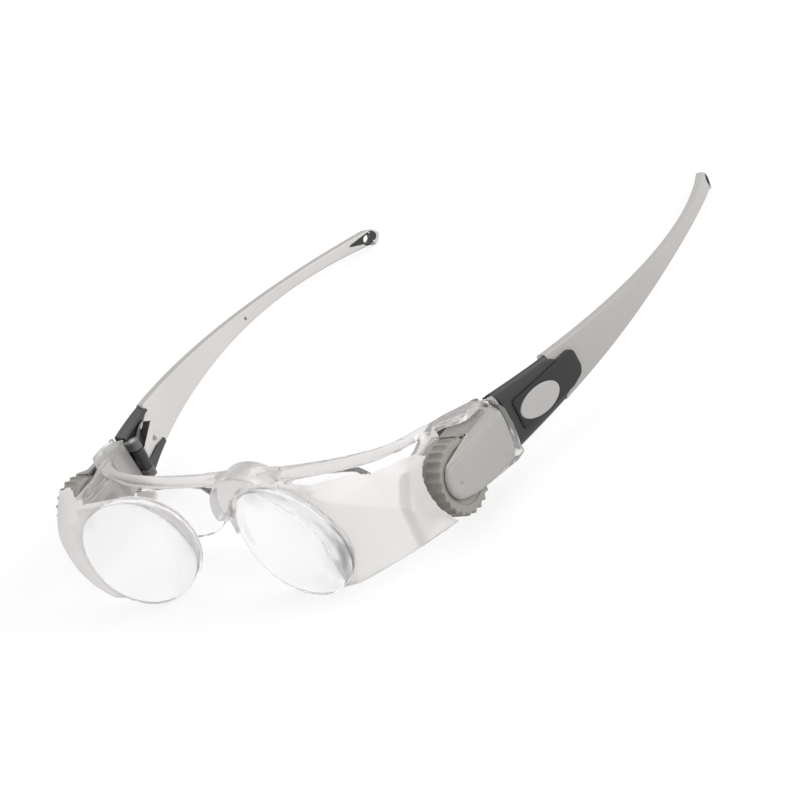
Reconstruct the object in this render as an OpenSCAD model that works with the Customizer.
// Magnifying spectacles: two sliding front lenses ahead of two fixed eyepiece lenses, focused by a
// wheel at each hinge and worn on folding temples. Front is -Y, up is +Z, the wearer's left is +X.
// Everything is drawn for the wearer's left side and mirrored for the right side.

/* [Front lenses] */
// Half of the front lens's long axis
lens_a = 21.2; // [18:0.1:22]
// Half of the front lens's short axis
lens_b = 17.4; // [15:0.1:18.5]
// Distance of each front lens centre from the middle plane
lens_x = 30.4; // [29.5:0.1:32]
// Place of the front lens's rim plane, fore and aft
lens_y = -42.3; // [-44:0.1:-41]
// Radius of the convex front surface
lens_r = 48; // [40:1:80]
// Thickness of the front lens at its rim
lens_edge = 1.6; // [1.2:0.1:2.4]
// Toe-in of each front lens in degrees
lens_toe = 7.1; // [4:0.1:9]
// Backward lean of each front lens in degrees
lens_lean = 5.9; // [3:0.1:8]
// Droop of the lens's long axis at the temple side in degrees
lens_droop = 11.2; // [6:0.1:14]

/* [Lens carriers] */
// Width of the seat ring behind the front lens
ring_w = 2.2; // [1.6:0.1:3.5]
// Depth of the seat ring
ring_t = 0.8; // [0.7:0.1:1.4]
// Plan radius of the side band's outer face
band_r = 75; // [74.5:0.1:75.5]
// Centre of the side band's plan curve, sideways
band_cx = 29.6; // [29.2:0.1:30]
// Centre of the side band's plan curve, fore and aft
band_cy = 27.6; // [27.2:0.1:28]
// Thickness of the side band
band_t = 2.4; // [1.8:0.1:3]
// Radius of the inward curl of the side band over the wheel
curl_r = 27; // [25:0.5:32]
// Height of the side band's top edge at the wheel
band_top = 28.6; // [27.6:0.1:29.2]
// Gap between the side band and the wheel's knurl
band_gap = 2.1; // [1.2:0.1:2.6]
// Thickness of the carrier's inner arm
arm_t = 2; // [1.6:0.1:2.4]
// Radius of the inner arm's round rear end
arm_r = 9.3; // [8.4:0.1:9.4]

/* [Focus wheels] */
// Distance of the wheel's outer face from the middle plane
wheel_x = 76.4; // [75.8:0.1:76.8]
// Place of the wheel's axle, fore and aft
wheel_y = -17.3; // [-18:0.1:-16.8]
// Height of the wheel's axle
wheel_z = 16.4; // [16:0.1:17]
// Radius over the knurl
wheel_r = 11.1; // [10.8:0.1:11.3]
// Number of knurl teeth
knurl_n = 24; // [16:1:32]
// Depth of the knurl scallops
knurl_d = 0.8; // [0.4:0.1:1]
// Width of the knurled rim
rim_w = 5; // [4:0.1:5.6]
// Thickness of the cam disc on the wheel's inner side
disc_t = 3.2; // [3:0.1:3.6]
// Forward travel of the carrier over half a turn
travel = 4.5; // [3:0.1:4.8]
// Distance of the follower pin from the axle at the rear stop
cam_r0 = 4.2; // [4.1:0.1:4.4]
// Radius of the follower pin
follower_r = 0.9; // [0.7:0.1:1]
// Depth of the spiral cam groove
groove_d = 1.8; // [1.2:0.1:2]
// Radius of the wheel's axle
axle_r = 2; // [1.6:0.1:2.1]

/* [Rear frame] */
// Place of the top bar's front edge at the middle
bar_y = -22; // [-22.6:0.1:-21.4]
// Depth by which the top bar wraps back at the hinges
wrap = 17.5; // [16.8:0.1:18]
// Exponent of the wrap curve: higher is squarer
wrap_n = 4.5; // [4.2:0.1:5]
// Height of the top bar's upper face at the hinges
bar_top = 28.2; // [28:0.1:28.8]
// Height of the top bar's upper face at the middle
bar_mid = 27; // [26.6:0.1:27.4]
// Height of the top bar's section
bar_h = 3.8; // [3:0.1:4.4]
// Depth of the top bar's section
bar_t = 3.6; // [3:0.1:4.2]
// Radius of the nose opening under the saddle
nose_r = 8.5; // [7.5:0.1:9.5]
// Outer radius of the nose saddle
saddle_r = 15; // [14:0.1:16]
// Depth of the nose saddle
saddle_d = 9; // [7:0.1:10]
// Height of the nose saddle's top
saddle_top = 28; // [27.6:0.1:28.4]
// Splay of the nose walls in degrees
nose_splay = 14; // [8:1:18]

/* [Eyepiece lenses] */
// Half width of each eyepiece
eye_a = 18; // [16:0.1:18.6]
// Half height of each eyepiece
eye_b = 11.3; // [10:0.1:12]
// Distance of each eyepiece centre from the middle plane
eye_x = 31; // [30:0.1:32]
// Height of each eyepiece centre
eye_z = 16.2; // [15.6:0.1:17]
// Edge thickness of each eyepiece
eye_t = 3; // [2.4:0.1:3.6]
// Radius of the concave front surface
eye_r = 90; // [80:1:160]

/* [Hinge housings] */
// Distance of the housing's inner face from the middle plane
wall_x = 63.9; // [63.6:0.1:64.1]
// Thickness of the clear housing walls
wall_t = 1.6; // [1.3:0.1:1.7]
// Distance of the housing's outer face from the middle plane
house_x = 77.6; // [77.4:0.1:78]
// Rear end of the housing's outer rim
house_y = 7.6; // [7.4:0.1:7.8]
// Underside height of the housing
house_z = 5; // [4.6:0.1:5.2]
// Width of the clear rim round the cap
rim_y = 2.4; // [2:0.1:2.8]
// Where the housing's roof begins to fall, fore and aft
roof_y = -9; // [-10:0.1:-8]
// Height of the housing's roof at its rear end
roof_low = 24.8; // [24.6:0.1:25.2]
// Distance of the housing's inner rear corner from the middle plane
corner_x = 69.7; // [69.4:0.1:69.9]
// Place of that corner, fore and aft
corner_y = 5.3; // [5:0.1:5.4]
// Thickness of the cap's plateau
cap_t = 1.5; // [1.3:0.1:1.8]
// Radius of the cap's lobe over the wheel hub
lobe_r = 7.3; // [6.6:0.1:7.6]

/* [Hinges] */
// Distance of the hinge pin from the middle plane
pin_x = 68.8; // [68.6:0.1:68.9]
// Place of the hinge pin, fore and aft
pin_y = 7.8; // [7.7:0.1:8]
// Middle height of the hinge
pin_z = 16.3; // [15.8:0.1:16.8]
// Inward lean of the hinge pin in degrees
pin_lean = 3; // [2.5:0.1:4]
// Radius of the hinge pin
pin_r = 0.9; // [0.7:0.1:1.1]
// Radius of the hinge knuckles
knuckle_r = 1.9; // [1.7:0.1:2]
// Height of the temple's knuckle
knuckle_h = 7; // [6:0.1:8]
// Height of each frame knuckle
ear_h = 3; // [2.4:0.1:3.2]

/* [Temples] */
// Half width of the spectacles at the widest point of the temples
bow_x = 89; // [88.5:0.1:89.5]
// Place of the widest point, fore and aft
bow_y = 74; // [73:0.5:75]
// Plan radius of the temple's outer face
bow_r = 170; // [167:1:174]
// Thickness of the temple
temple_t = 3; // [2.6:0.1:3.4]
// Length of the temple behind the housing, fore and aft
temple_l = 142.6; // [138:0.1:146]
// Height of the temple at its tip
tip_h = 6.2; // [5.6:0.1:7]
// Top of the temple where it leaves the housing
root_top = 25.5; // [25:0.1:26]
// Bottom of the temple where it leaves the housing
root_bottom = 5.4; // [5.1:0.1:6]
// Arch of the temple's lower edge
lower_arch = 6.3; // [5.5:0.1:7]
// Shift of that arch towards the tip
lower_skew = 0.8; // [0.4:0.1:1.2]
// Crown of the temple's upper edge
upper_crown = 0.4; // [0:0.1:0.8]
// Radius of the cord hole in the temple tip
cord_r = 1.6; // [1.2:0.1:1.7]
// Distance of the cord hole from the tip's end
cord_in = 3.2; // [3:0.1:4]
// Height of the cord hole
cord_z = 3.6; // [3.2:0.1:4]

/* [Hinge sleeves] */
// Thickness of the sleeve over the temple core
sleeve_t = 1; // [0.8:0.1:1.2]
// Rise of the sleeve's panel above its skin
panel_t = 0.7; // [0.4:0.1:1]
// Rear end of the sleeve's panel
panel_y = 36.2; // [35:0.1:38]
// Rear end of the sleeve's wrap
wrap_y = 28.5; // [27.5:0.1:29.5]
// Half length of the oval badge
badge_a = 7.2; // [6:0.1:7.6]
// Half height of the oval badge
badge_b = 4.3; // [3.6:0.1:4.5]
// Place of the badge's centre, fore and aft
badge_y = 19.1; // [18.6:0.1:20]
// Height of the badge's centre
badge_z = 14; // [13.8:0.1:14.6]

/* [Fits] */
// Running clearance of axles and pins in their bores, on the radius
run_gap = 0.06; // [0.03:0.01:0.09]
// Clearance between parts that slide past each other
slide_gap = 0.3; // [0.2:0.05:0.35]
// Clearance of the follower pin and of the guide rail
guide_gap = 0.15; // [0.1:0.01:0.18]

/* [Hidden] */
$fn = 96;
// Reach of the blocks and bores that pass right through the part
far = 400;
// Gap between the housing and the temple's root
root_gap = 0.4;
root_y = house_y + root_gap;
tip_y = root_y + temple_l;

// Height from the front lens's centre down to its lowest rim point
lens_drop = sqrt(pow(lens_a * sin(lens_droop), 2) + pow(lens_b * cos(lens_droop), 2));
ring_back = lens_edge + ring_t;
lens_z = lens_drop * cos(lens_lean) + ring_back * sin(lens_lean);
sphere_back = sqrt(lens_r * lens_r - lens_a * lens_a);
front_y = lens_y + sphere_back * cos(lens_lean) * cos(lens_toe) - lens_r;
origin_y = (front_y + tip_y) / 2;

// Stack of layers from the housing's inner wall out to the cap
wall_out = wall_x + wall_t;
arm_x = wall_out + slide_gap;
arm_out = arm_x + arm_t;
rim_x = wheel_x - rim_w;
disc_x = rim_x - disc_t;
disc_r = wheel_r - knurl_d;
hub_r = 3.6;
hub_sink = 1.2;
cap_x = wheel_x + slide_gap;
cap_out = cap_x + cap_t;
step_x = cap_x + cap_t / 2;
cam_rate = travel / 180;
groove_r = follower_r + guide_gap;
cut_r = wheel_r + band_gap;
follower_y = wheel_y - cam_r0;

// Temple shape shared by the core, the sleeve, the leaf, the badge and the tip insert
bow_cx = bow_x - bow_r;
core_in = bow_r - temple_t + sleeve_t * 0.6;
core_out = bow_r - sleeve_t;
skin_out = bow_r + 0.6;
panel_out = skin_out + panel_t;
lining_in = bow_r - temple_t - 0.8;
cord_y = tip_y - cord_in;
// Sideways span that holds a whole temple
side_in = wall_x - 4;
side_out = bow_x + 11;
// Where the level middle of the top bar ends on its underside
bar_flat = wall_x - 14;

function unit(v) = v / norm(v);
function lerp(a, b, t) = a + (b - a) * t;

// Points of an arc about c from angle a0 to a1
function arc(c, r, a0, a1, n) =
    [for (i = [0:n]) c + r * [cos(lerp(a0, a1, i / n)), sin(lerp(a0, a1, i / n))]];

// Points of an ellipse with half axes a and b
function ellipse(a, b, n = 96) = [for (i = [0:n - 1]) [a * cos(i * 360 / n), b * sin(i * 360 / n)]];

// Arc that rounds the corner p between its neighbours a and b; the radius is limited by the sides
function corner(a, p, b, r, n = 6) =
    let(
        u = unit(a - p),
        v = unit(b - p),
        half = acos(max(-1, min(1, u * v))) / 2,
        t = min(r / tan(half), 0.48 * min(norm(a - p), norm(b - p))),
        rr = t * tan(half),
        c = p + unit(u + v) * rr / sin(half),
        s = p + u * t - c,
        e = p + v * t - c,
        a0 = atan2(s[1], s[0]),
        turn = atan2(s[0] * e[1] - s[1] * e[0], s * e)
    )
    arc(c, rr, a0, a0 + turn, n);

// Outline of [x, y, radius] corners; a radius of 0 keeps the corner sharp
function rounded(pts) =
    let(n = len(pts), xy = [for (p = pts) [p[0], p[1]]])
    [for (i = [0:n - 1])
        each pts[i][2] == 0 ? [xy[i]] : corner(xy[(i + n - 1) % n], xy[i], xy[(i + 1) % n], pts[i][2])];

// Plan distance of a vertical round face of radius r about the bow's centre, at y
function bow_at(r, y) = bow_cx + sqrt(r * r - pow(y - bow_y, 2));
// Direction of the temple's outward normal at y
function bow_angle(y) = asin((y - bow_y) / bow_r);
// Front edge of the top bar
function bar_line(x) = bar_y + wrap * pow(abs(x) / bar_end, wrap_n);
bar_end = 74.2;
// Top and bottom edges of the temple seen from the side
function temple_top(y) =
    let(t = (y - root_y) / (tip_y - root_y))
    lerp(root_top, tip_h, t) + upper_crown * sin(180 * t);
function temple_bottom(y) =
    let(t = (y - root_y) / (tip_y - root_y))
    lerp(root_bottom, 0, t) + lower_arch * 4 * t * (1 - t) - lower_skew * sin(360 * t);
// Centre line of the spiral cam groove after the wheel has turned by a degrees
function cam_point(a) = (cam_r0 + cam_rate * a) * [-cos(a), sin(a)];
function cam_normal(a) =
    let(t = unit(cam_point(a + 0.5) - cam_point(a - 0.5)))
    [-t[1], t[0]];

module place() {
    translate([0, -origin_y, 0]) children();
}

module side(s) {
    if (s > 0) children();
    else mirror([1, 0, 0]) children();
}

// A flat shape drawn in Y and Z, raised along X from x0 to x1
module slab_x(x0, x1) {
    translate([x0, 0, 0]) rotate([90, 0, 90]) linear_extrude(x1 - x0) children();
}

// A flat shape drawn in X and Z, raised along Y from y0 to y1
module slab_y(y0, y1) {
    translate([0, y1, 0]) rotate([90, 0, 0]) linear_extrude(y1 - y0) children();
}

// A flat shape drawn in X and Y, raised from z0 to z1
module slab_z(z0, z1) {
    translate([0, 0, z0]) linear_extrude(z1 - z0) children();
}

module rod_x(x0, x1, r) {
    translate([x0, wheel_y, wheel_z]) rotate([0, 90, 0]) cylinder(r = r, h = x1 - x0);
}

// The front lens's own frame: X along the long axis, -Y out of the front, origin at the rim plane
module lens_place() {
    translate([lens_x, lens_y, lens_z]) rotate([-lens_lean, 0, -lens_toe]) rotate([0, lens_droop, 0]) children();
}

// The hinge's own frame: Z along the leaning pin, origin at the middle of the hinge
module hinge_place() {
    translate([pin_x, pin_y, pin_z]) rotate([0, -pin_lean, 0]) children();
}

// Upright face pieces that follow the temple's bow, between two radii
module bow_band(r0, r1) {
    translate([bow_cx, bow_y, -far / 2]) linear_extrude(far) difference() {
        circle(r = r1, $fn = 360);
        circle(r = r0, $fn = 360);
    }
}

// Side outline of the temple between y0 and y1, drawn in by inset at the top and bottom
module temple_outline(y0, y1, inset) {
    steps = 24;
    top = [for (i = [0:steps]) let(y = lerp(y1, y0, i / steps)) [y, temple_top(y) - inset]];
    bottom = [for (i = [0:steps]) let(y = lerp(y0, y1, i / steps)) [y, temple_bottom(y) + inset]];
    polygon(concat(bottom, top));
}

// Side outline of the whole temple with its round tip
module temple_side() {
    r = tip_h / 2;
    temple_outline(root_y, tip_y - r, 0);
    intersection() {
        translate([tip_y - r, r]) circle(r = r);
        translate([tip_y - r - 0.5, 0]) square([r + 1, tip_h]);
    }
}

// Side outline of the charcoal sleeve: full height at the front, a tongue behind
module sleeve_side() {
    polygon(rounded([
        [root_y, root_bottom - 3, 0], [wrap_y, root_bottom - 3, 0], [wrap_y + 0.4, 8.8, 1.2],
        [wrap_y + 2.3, 9.5, 2], [panel_y - 1, 10.8, 2.5], [panel_y, 13, 1.5], [panel_y, 19.3, 2.2],
        [wrap_y + 1.6, 19.6, 1.4], [wrap_y + 0.2, 21, 1.4], [wrap_y - 0.8, root_top + 1, 0],
        [root_y, root_top + 3, 0]
    ]));
}

module panel_side() {
    polygon(rounded([
        [root_y + 1.9, 9.6, 1], [wrap_y + 2.3, 9.5, 2], [panel_y - 1, 10.8, 2.5], [panel_y, 13, 1.5],
        [panel_y, 19.3, 2.2], [root_y + 2.8, 19.4, 1.2]
    ]));
}

module badge_side() {
    badge_tilt = 4;
    translate([badge_y, badge_z]) rotate(-badge_tilt) polygon(ellipse(badge_a, badge_b));
}

// Front lens outline as a bar through the lens, from y0 to y1 in the lens's own frame
module lens_bar(y0, y1, grow) {
    slab_y(y0, y1) polygon(ellipse(lens_a + grow, lens_b + grow));
}

module front_lens() {
    color([0.93, 0.95, 0.96, 0.5]) lens_place() intersection() {
        lens_bar(sphere_back - lens_r - 1, lens_edge, 0);
        translate([0, sphere_back, 0]) sphere(r = lens_r, $fn = 240);
    }
}

// Front outline of the band: a straight lower edge, and a top edge falling from the lens to the wheel
module band_front() {
    polygon(rounded([
        [lens_x, 2 * lens_z - 0.6, 0], [lens_x + 14, 2 * lens_z - 0.6, 8], [lens_x + 27.6, band_top + 1, 12],
        [wheel_x - 4, band_top, 8], [house_x + 3, band_top - 1.2, 0], [house_x + 3, 10.8, 0],
        [lens_x + 9.6, 1.8, 0], [lens_x, lens_z, 0]
    ]));
}

// Space inside the band's outer face, drawn in by inset: the plan curve leans back with the lens,
// a level barrel curls it inwards over the wheel, and the lens's rim plane closes the front
module band_space(inset) {
    curl_turn = 44;
    curl_z = 9;
    curl_in = band_r - curl_r;
    crest = 14;
    intersection() {
        translate([band_cx, band_cy, curl_z]) rotate([-lens_lean, 0, 0]) translate([0, 0, -far / 2])
            cylinder(r = band_r - inset, h = far, $fn = 360);
        translate([band_cx + curl_in * sin(curl_turn), band_cy - curl_in * cos(curl_turn), curl_z])
            rotate([0, 0, curl_turn]) union() {
                rotate([0, 90, 0]) translate([0, 0, -far / 2]) cylinder(r = curl_r - inset, h = far, $fn = 240);
                translate([-far / 2, inset - crest, -far / 2]) cube([far, far, far]);
            }
        lens_place() translate([-far / 2, inset, -far / 2]) cube([far, far, far]);
    }
}

module band() {
    difference() {
        intersection() {
            slab_y(band_cy - band_r - 5, wheel_y) band_front();
            difference() {
                band_space(0);
                band_space(band_t);
            }
        }
        rod_x(arm_out + slide_gap, far, cut_r);
    }
}

// The inner arm runs back from the band past the wheel, and carries the follower pin
module inner_arm() {
    front = band_cy - band_r;
    intersection() {
        slab_x(arm_x, arm_out) union() {
            translate([wheel_y, wheel_z]) circle(r = arm_r);
            polygon(rounded([
                [front, wheel_z - 8, 0], [wheel_y, wheel_z - arm_r, 0], [wheel_y + arm_r - 1, wheel_z, 0],
                [wheel_y + arm_r - 1, wheel_z + arm_r, 2.5], [front, wheel_z + arm_r, 0]
            ]));
        }
        band_space(0.4);
    }
}

module lens_carrier() {
    color([0.9, 0.92, 0.93, 0.5]) difference() {
        union() {
            difference() {
                union() {
                    band();
                    inner_arm();
                }
                lens_place() lens_bar(-far / 2, ring_back, 0);
            }
            lens_place() difference() {
                lens_bar(lens_edge, ring_back, 0);
                lens_bar(lens_edge - 1, ring_back + 1, -ring_w);
            }
        }
        lens_place() lens_bar(-far / 2, far / 2, -ring_w);
        slot_for_axle();
        slot_for_rail();
        translate([arm_x - 1, follower_y, wheel_z]) rotate([0, 90, 0]) cylinder(r = follower_r, h = arm_t + 2);
    }
}

module slot_for_axle() {
    r = axle_r + guide_gap;
    slab_x(arm_x - 1, arm_out + 1) union() {
        translate([wheel_y, wheel_z]) circle(r = r);
        translate([wheel_y + travel, wheel_z]) circle(r = r);
        translate([wheel_y, wheel_z - r]) square([travel, 2 * r]);
    }
}

rail_h = 1.6;
rail_z = wheel_z + 6.2;
rail_front = wheel_y - 7.2;
rail_back = wheel_y + 6.4;
rail_x = wall_out + slide_gap + 1;

module slot_for_rail() {
    front = rail_front - 1;
    slab_x(arm_x - 1, rail_x + guide_gap)
        translate([front, rail_z - rail_h / 2 - guide_gap]) square([far, rail_h + 2 * guide_gap]);
}

module follower_pin() {
    reach = disc_x + groove_d - guide_gap * 2;
    color([0.72, 0.72, 0.74]) translate([arm_x, follower_y, wheel_z]) rotate([0, 90, 0])
        cylinder(r = follower_r, h = reach - arm_x);
}

// Spiral groove in the wheel's inner face, with a round end past each stop
module cam_groove() {
    steps = 36;
    outer = [for (i = [0:steps]) let(a = i * 180 / steps) cam_point(a) + groove_r * cam_normal(a)];
    inner = [for (i = [steps:-1:0]) let(a = i * 180 / steps) cam_point(a) - groove_r * cam_normal(a)];
    translate([wheel_y, wheel_z]) {
        polygon(concat(outer, inner));
        translate(cam_point(0)) circle(r = groove_r + 0.05);
        translate(cam_point(180)) circle(r = groove_r + 0.05);
    }
}

module knurl() {
    scallop_r = 1.25;
    difference() {
        circle(r = wheel_r);
        for (i = [0:knurl_n - 1]) rotate(i * 360 / knurl_n)
            translate([wheel_r + scallop_r - knurl_d, 0]) circle(r = scallop_r, $fn = 32);
    }
}

module focus_wheel() {
    color([0.66, 0.66, 0.64]) difference() {
        union() {
            rod_x(disc_x, rim_x + 0.5, disc_r);
            slab_x(rim_x, wheel_x) translate([wheel_y, wheel_z]) knurl();
        }
        rod_x(disc_x - 1, far, axle_r + run_gap);
        rod_x(wheel_x - hub_sink, far, hub_r);
        slab_x(disc_x - 1, disc_x + groove_d) cam_groove();
        rod_x(wheel_x - 0.4, far, lobe_r + 0.6);
    }
}

module wheel_axle() {
    color([0.5, 0.5, 0.5]) {
        rod_x(wall_x, step_x - 0.1, axle_r);
        rod_x(step_x - 0.2, cap_out, axle_r * 0.4);
    }
}

// Side outline of the cap: a lobe round the wheel's hub and a body that fills the housing's window
module cap_side(inset = 0) {
    top = bar_top - wall_t - 1.1 - inset;
    low = house_z + wall_t + 0.3 + inset;
    back = house_y - rim_y - 0.2;
    r = lobe_r - inset * 0.6;
    translate([wheel_y, wheel_z]) circle(r = r);
    polygon(rounded([
        [wheel_y, wheel_z - r, 0], [wheel_y + 4.2, wheel_z - r, 3], [wheel_y + 10, low, 5], [back, low, 1.5],
        [back, top - 2, 1.5], [back - 2.8, top, 1.5], [wheel_y + 7 + inset, top, 6], [wheel_y - r * 0.77, wheel_z + r * 0.64, 0],
        [wheel_y - 1, wheel_z - 1, 0]
    ]));
}

module hinge_cap() {
    color([0.72, 0.73, 0.72]) difference() {
        union() {
            slab_x(cap_x, step_x) cap_side();
            slab_x(step_x - 0.1, cap_out) cap_side(1.2);
            rod_x(wheel_x - hub_sink + slide_gap, cap_x + 0.1, hub_r - slide_gap);
            slab_x(block_x, cap_x + 0.1) translate([house_y - rim_y - 1.6, house_z + wall_t + 0.6])
                square([1.4, bar_top - house_z - 2 * wall_t - 4]);
        }
        rod_x(rim_x, step_x - 0.1, axle_r);
        rod_x(rim_x, far, axle_r * 0.4);
    }
}

block_x = wheel_x - 1;
block_front = wheel_y + 9.9;
bend_y = wheel_y + 10.6;

// Plan outline of the grey hinge block between the clear walls
module block_plan() {
    polygon([
        [wall_out, block_front], [wall_out + 0.7, block_front], [block_x, house_y - rim_y - 3.4],
        [block_x, house_y - rim_y + 0.4], [corner_x + wall_t + 0.2, corner_y], [wall_out, bend_y - 0.1]
    ]);
}

// Plan outline of a frame knuckle and the lug that carries it round the rear of the clear wall
module ear_plan() {
    lug_x = corner_x + wall_t + 0.4;
    translate([pin_x, pin_y]) circle(r = knuckle_r);
    polygon([
        [pin_x, pin_y - knuckle_r], [lug_x, corner_y + 0.4], [lug_x, corner_y - 3], [lug_x + 1.8, corner_y - 3],
        [lug_x + 1.8, pin_y - 0.9], [pin_x + knuckle_r, pin_y - 0.4], [pin_x, pin_y]
    ]);
}

module hinge_block() {
    low = house_z + wall_t;
    color([0.55, 0.55, 0.53]) difference() {
        union() {
            intersection() {
                slab_z(low, bar_top) block_plan();
                house_space(wall_t);
            }
            hinge_place() for (s = [-1, 1]) {
                z0 = s > 0 ? knuckle_h / 2 + slide_gap : -knuckle_h / 2 - slide_gap - ear_h;
                translate([-pin_x, -pin_y, z0]) linear_extrude(ear_h) ear_plan();
            }
        }
        hinge_place() translate([0, 0, -far / 2]) cylinder(r = pin_r, h = far);
        rod_x(arm_out, far, wheel_r + slide_gap);
    }
}

module hinge_pin() {
    half = knuckle_h / 2 + slide_gap + ear_h;
    color([0.72, 0.72, 0.74]) hinge_place() translate([0, 0, -half]) cylinder(r = pin_r, h = 2 * half);
}

// The leaf joins the temple's knuckle to the inner face of the temple's core
module leaf_solid() {
    intersection() {
        union() {
            hinge_place() translate([0, 0, -knuckle_h / 2]) cylinder(r = knuckle_r, h = knuckle_h);
            hinge_place() translate([-pin_x, -pin_y, -knuckle_h / 2]) linear_extrude(knuckle_h) polygon([
                [pin_x + 0.2, pin_y + knuckle_r * 0.99], [pin_x + 3.6, pin_y + 5.6], [pin_x + 6.4, pin_y + 16],
                [pin_x + 14, pin_y + 16], [pin_x + 12, pin_y + 7], [pin_x + 4, pin_y + 1.6],
                [pin_x + knuckle_r * 0.9, pin_y + knuckle_r * 0.3]
            ]);
        }
        translate([bow_cx, bow_y, 0]) cylinder(r = core_in, h = far, $fn = 360);
    }
}

module hinge_leaf() {
    color([0.3, 0.3, 0.31]) difference() {
        leaf_solid();
        hinge_place() translate([0, 0, -far / 2]) cylinder(r = pin_r + run_gap, h = far);
        badge_stud();
    }
}

// The part of the temple that the sleeve covers is a thinner core, so that the sleeve sits over it
module temple_core() {
    intersection() {
        bow_band(core_in, core_out);
        slab_x(side_in, side_out) temple_outline(root_y + sleeve_t, panel_y + 1, sleeve_t);
    }
}

// The sleeve's side outline as a bar; the core and the arm share it
module sleeve_bar() {
    slab_x(side_in, side_out) sleeve_side();
}

// Placed at the cord hole: Z runs out through the temple along its normal
module cord_place() {
    a = bow_angle(cord_y);
    translate([bow_cx, bow_y, cord_z]) rotate([0, 0, a]) translate([bow_r, 0, 0]) rotate([0, 90, 0]) children();
}

bush_r = cord_r + 0.6;
drop_t = 0.8;

// Side outline of the teardrop recess: round at the cord hole, pointed towards the front
module drop_side() {
    translate([cord_y, cord_z]) circle(r = bush_r);
    polygon([
        [cord_y, cord_z - bush_r], [cord_y - 7.5, cord_z + 1.4], [cord_y - 8, cord_z + 2], [cord_y - 7, cord_z + 2.2],
        [cord_y, cord_z + bush_r]
    ]);
}

module drop_solid() {
    intersection() {
        bow_band(bow_r - temple_t, bow_r - temple_t + drop_t);
        slab_x(side_in, side_out) drop_side();
    }
    intersection() {
        bow_band(bow_r - temple_t, bow_r);
        cord_place() translate([0, 0, -temple_t - 2]) cylinder(r = bush_r, h = temple_t + 4);
    }
}

module temple_arm() {
    color([0.76, 0.75, 0.74]) difference() {
        union() {
            difference() {
                intersection() {
                    bow_band(bow_r - temple_t, bow_r);
                    slab_x(side_in, side_out) temple_side();
                }
                sleeve_bar();
            }
            intersection() {
                temple_core();
                sleeve_bar();
            }
        }
        drop_solid();
        badge_stud();
        mark_pocket();
    }
}

// Small round mark on the inner face, part way along the temple
module mark_pocket() {
    mark_y = 91.4;
    mark_z = 11.6;
    a = bow_angle(mark_y);
    translate([bow_cx, bow_y, mark_z]) rotate([0, 0, a]) translate([bow_r - temple_t - 1, 0, 0])
        rotate([0, 90, 0]) cylinder(r = 0.6, h = 1.8);
}

module badge_stud() {
    stud_r = 1.2;
    sink = 6;
    a = bow_angle(badge_y);
    translate([bow_cx, bow_y, badge_z]) rotate([0, 0, a]) translate([bow_r - temple_t - sink, 0, 0])
        rotate([0, 90, 0]) cylinder(r = stud_r, h = sink + badge_in + 0.4 - bow_r + temple_t);
}

// The sleeve is open inside, so that the leaf and the hinge's hollow show
module hinge_sleeve() {
    color([0.22, 0.22, 0.23]) difference() {
        union() {
            intersection() {
                bow_band(lining_in, skin_out);
                sleeve_bar();
                slab_x(side_in, side_out) temple_outline(root_y, panel_y + 1, 0);
            }
            intersection() {
                bow_band(skin_out - 0.2, panel_out);
                slab_x(side_in, side_out) panel_side();
            }
        }
        temple_core();
        leaf_solid();
        intersection() {
            bow_band(lining_in - 4, core_in);
            slab_x(side_in, side_out) polygon(rounded([
                [root_y - 1, 9.4, 0], [root_y + 12, 10.8, 4], [wrap_y - 2, 17.5, 3], [root_y + 10, 20, 4],
                [root_y - 1, 22.6, 0]
            ]));
        }
        intersection() {
            bow_band(lining_in - 4, bow_r - temple_t);
            slab_x(side_in, side_out) translate([wrap_y - 1, 0]) square(far);
        }
        badge_cut();
        badge_stud();
    }
}

badge_in = panel_out - 0.5;

module badge_cut() {
    intersection() {
        bow_band(badge_in, panel_out + 5);
        slab_x(side_in, side_out) badge_side();
    }
}

module oval_badge() {
    color([0.8, 0.8, 0.79]) {
        intersection() {
            bow_band(badge_in, panel_out + 0.3);
            slab_x(side_in, side_out) badge_side();
        }
        intersection() {
            badge_stud();
            bow_band(bow_r - temple_t, badge_in + 0.1);
        }
    }
}

module tip_insert() {
    color([0.25, 0.25, 0.26]) difference() {
        drop_solid();
        cord_place() translate([0, 0, -far / 2]) cylinder(r = cord_r, h = far);
    }
}

module eyepiece_lens() {
    centre_t = 1.4;
    back = bar_y + eye_t;
    color([0.93, 0.95, 0.96, 0.5]) difference() {
        slab_y(bar_y, back) intersection() {
            translate([eye_x, eye_z]) polygon(ellipse(eye_a, eye_b));
            difference() {
                polygon([
                    [saddle_wall(), 0], [bar_flat, 0], [bar_flat, bar_top - bar_h], [saddle_r, bar_mid - bar_h],
                    [saddle_wall(), bar_mid - bar_h]
                ]);
                translate([0, saddle_top - saddle_r]) circle(r = saddle_r);
            }
        }
        translate([eye_x, back - centre_t - eye_r, eye_z]) sphere(r = eye_r, $fn = 360);
    }
}

// Outer side of the nose wall at the eyepiece, where the eyepiece is bonded
function saddle_wall() = nose_r + 3.6;

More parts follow.
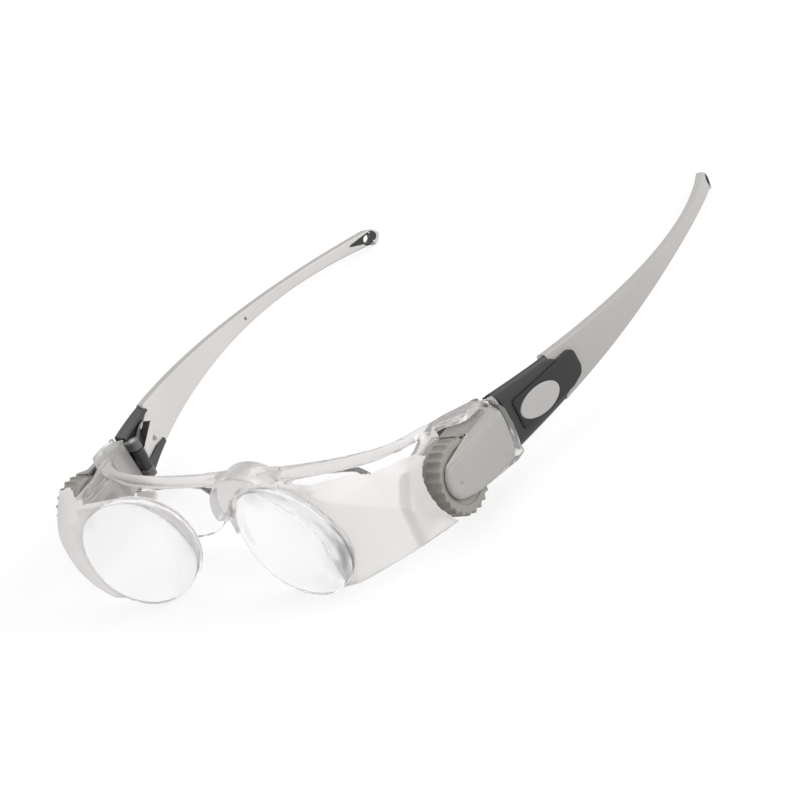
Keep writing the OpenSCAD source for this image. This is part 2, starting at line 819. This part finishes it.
// Top bar from hinge to hinge; it thins to the housing's wall towards its ends
module top_bar() {
    steps = 40;
    front = [for (i = [-steps:steps]) let(x = bar_end * i / steps) [x, bar_line(x)]];
    back = [for (i = [steps:-1:-steps]) let(x = (bar_end - 3) * i / steps) [x, bar_line(x) + bar_t]];
    low = bar_top - bar_h;
    thin = bar_top - wall_t;
    flat = wall_x - 5;
    intersection() {
        slab_z(low - 2, bar_top) polygon(concat(front, back));
        slab_y(bar_y - 1, house_y) polygon([
            [-bar_end, thin], [-wall_x, thin], [-bar_flat, low], [-saddle_r, bar_mid - bar_h],
            [saddle_r, bar_mid - bar_h], [bar_flat, low], [wall_x, thin], [bar_end, thin], [bar_end, bar_top],
            [flat, bar_top], [saddle_r, bar_mid], [-saddle_r, bar_mid], [-flat, bar_top], [-bar_end, bar_top]
        ]);
        union() {
            side(1) house_space(0);
            side(-1) house_space(0);
            translate([-side_in, -far / 2, 0]) cube([2 * side_in, far, far]);
        }
    }
}

// Saddle and nose walls
module nose_saddle() {
    centre = saddle_top - saddle_r;
    foot = 6.5;
    drop = centre - foot;
    spread = drop * tan(nose_splay);
    slab_y(bar_y - 3, bar_y - 3 + saddle_d) difference() {
        intersection() {
            translate([0, centre]) circle(r = saddle_r);
            translate([-saddle_r, centre]) square([2 * saddle_r, saddle_r]);
        }
        translate([0, centre]) circle(r = nose_r);
    }
    slab_y(bar_y - 1, bar_y - 1 + saddle_d - 3) for (s = [-1, 1]) polygon([
        [s * nose_r, centre], [s * (nose_r + spread), foot], [s * (nose_r + spread + 2.4), foot],
        [s * saddle_wall(), centre - 4], [s * saddle_wall(), centre + 5], [s * nose_r, centre + 5]
    ]);
}

// Plan outline shared by the housing's clear top and bottom plates
module house_plan(front_x) {
    polygon(concat(
        [for (i = [0:10]) let(x = lerp(front_x, bar_end, i / 10)) [x, bar_line(x)]],
        [[house_x, house_y - 4.4], [house_x, house_y], [house_x - 2.1, house_y],
        [house_x - 2.1, house_y - rim_y + 0.6], [corner_x + wall_t, corner_y], [corner_x, corner_y],
        [wall_x, bend_y], [front_x, bar_line(front_x) + bar_t]]
    ));
}

// Space under the housing's roof, drawn in by inset: the roof falls towards the temple and curls
// down over the outer side
module house_space(inset) {
    level = bar_top - inset;
    rear = roof_low - inset;
    fall = house_y + 1 - roof_y;
    intersection() {
        slab_x(bar_flat, house_x) polygon([
            [bar_y - 2, level], [roof_y, level], [roof_y + 0.35 * fall, lerp(level, rear, 0.26)],
            [roof_y + 0.7 * fall, lerp(level, rear, 0.68)], [house_y + 1, rear], [house_y + 1, 0], [bar_y - 2, 0]
        ]);
        slab_y(bar_y - 2, house_y + 1) polygon([
            [bar_flat, level], [house_x - 7.1 - 0.4 * inset, level], [house_x - 4.1 - 0.7 * inset, level - 1.1],
            [house_x - 1.8 - 0.9 * inset, level - 2.4], [house_x - 0.5 - inset, level - 3.6],
            [house_x - inset, level - 5.2], [house_x - inset, 0], [bar_flat, 0]
        ]);
    }
}

module housing() {
    difference() {
        intersection() {
            slab_z(house_z + 18.4, bar_top) house_plan(wall_x - 6);
            difference() {
                house_space(0);
                house_space(wall_t);
            }
        }
        slab_x(cap_x, far) cap_side();
    }
    intersection() {
        translate([house_x - 2.1, house_y - rim_y, house_z]) cube([2.1, rim_y, bar_top]);
        house_space(0);
    }
    slab_z(house_z, house_z + wall_t) intersection() {
        house_plan(wall_x);
        translate([wall_x, block_front]) square([30, 30]);
    }
    lobe = wheel_z - house_z - 1.2;
    slab_x(wall_x, wall_out) {
        translate([wheel_y, wheel_z]) circle(r = lobe);
        polygon([
            [wheel_y, wheel_z - lobe], [block_front, house_z], [bend_y, house_z], [bend_y, bar_top - 0.4],
            [wheel_y + 5, bar_top - 0.4], [wheel_y, wheel_z + lobe]
        ]);
    }
    intersection() {
        slab_z(house_z, bar_top) polygon([
            [wall_x, bend_y - 0.1], [wall_out, bend_y - 0.1], [corner_x + wall_t, corner_y], [corner_x, corner_y]
        ]);
        house_space(0.4);
    }
    slab_x(wall_out - 0.1, rail_x) translate([rail_front, rail_z - rail_h / 2]) square([rail_back - rail_front, rail_h]);
}

module rear_frame() {
    color([0.88, 0.9, 0.91, 0.5]) difference() {
        union() {
            top_bar();
            nose_saddle();
            for (s = [-1, 1]) side(s) housing();
        }
        for (s = [-1, 1]) side(s) rod_x(wall_x - 1, wall_out + 0.2, axle_r);
    }
}

place() rear_frame();
place() side(1) eyepiece_lens();  // left_eyepiece_lens
place() side(-1) eyepiece_lens();  // right_eyepiece_lens
place() side(1) lens_carrier();  // left_lens_carrier
place() side(-1) lens_carrier();  // right_lens_carrier
place() side(1) front_lens();  // left_front_lens
place() side(-1) front_lens();  // right_front_lens
place() side(1) follower_pin();  // left_follower_pin
place() side(-1) follower_pin();  // right_follower_pin
place() side(1) focus_wheel();  // left_focus_wheel
place() side(-1) focus_wheel();  // right_focus_wheel
place() side(1) wheel_axle();  // left_wheel_axle
place() side(-1) wheel_axle();  // right_wheel_axle
place() side(1) hinge_cap();  // left_hinge_cap
place() side(-1) hinge_cap();  // right_hinge_cap
place() side(1) hinge_block();  // left_hinge_block
place() side(-1) hinge_block();  // right_hinge_block
place() side(1) hinge_pin();  // left_hinge_pin
place() side(-1) hinge_pin();  // right_hinge_pin
place() side(1) hinge_leaf();  // left_hinge_leaf
place() side(-1) hinge_leaf();  // right_hinge_leaf
place() side(1) temple_arm();  // left_temple_arm
place() side(-1) temple_arm();  // right_temple_arm
place() side(1) hinge_sleeve();  // left_hinge_sleeve
place() side(-1) hinge_sleeve();  // right_hinge_sleeve
place() side(1) oval_badge();  // left_oval_badge
place() side(-1) oval_badge();  // right_oval_badge
place() side(1) tip_insert();  // left_tip_insert
place() side(-1) tip_insert();  // right_tip_insert
